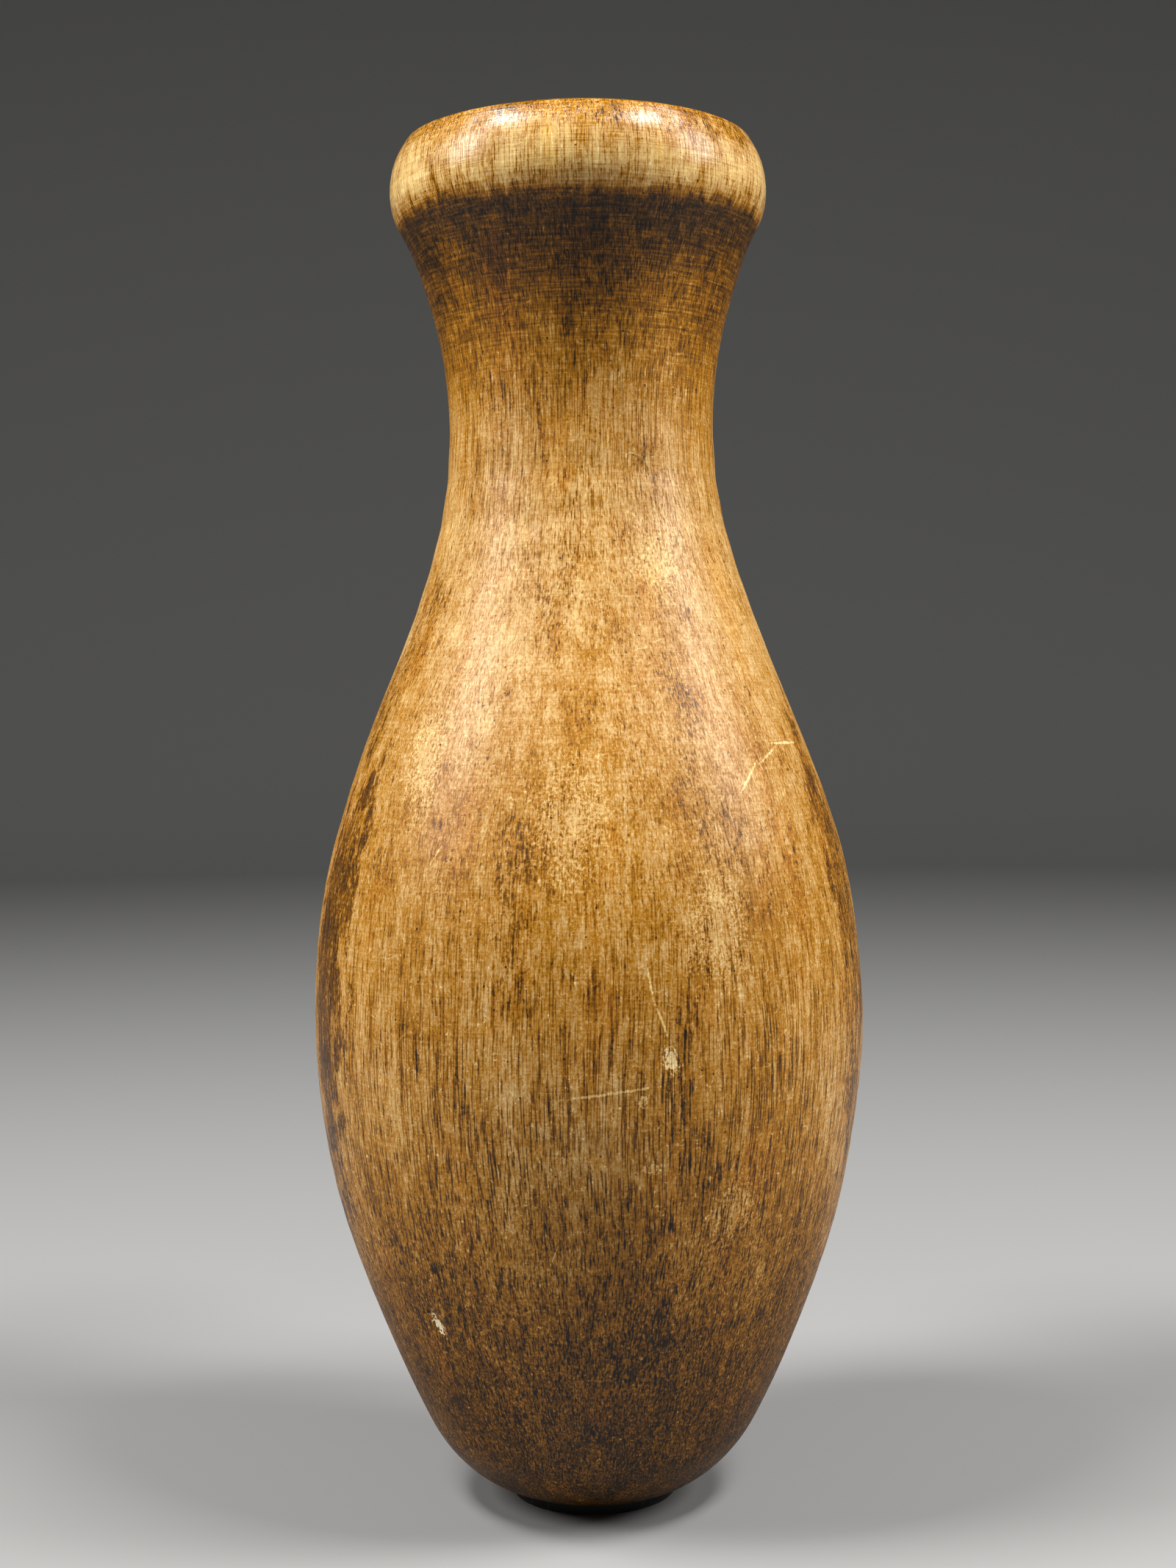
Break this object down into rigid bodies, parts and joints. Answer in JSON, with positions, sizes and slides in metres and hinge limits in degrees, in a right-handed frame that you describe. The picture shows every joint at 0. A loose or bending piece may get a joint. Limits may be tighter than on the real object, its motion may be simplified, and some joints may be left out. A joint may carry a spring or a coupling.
{
  "type": "bowling pin",
  "caption": "Small turned hardwood bowling pin with a rounded head, slim neck and full belly, on a thin black base disc with a peg hole.",
  "frame": {"origin": "centre of the flat face that the pin stands on", "axes": "+Z along the turning axis, from the base towards the crown; -Y faces the viewer"},
  "size_m": [0.1016, 0.1016, 0.254],
  "materials": {
    "varnished_wood": "worn satin varnish over a brown stain",
    "black_fibre": "matte, scuffed",
    "brass": "dull drawn tube",
    "steel": "dull, slightly oxidised"
  },
  "bodies": {
    "root": {"pin_body": "varnished_wood", "base_disc": "black_fibre", "peg_bush": "brass", "base_screws": "steel"}
  },
  "joints": []
}
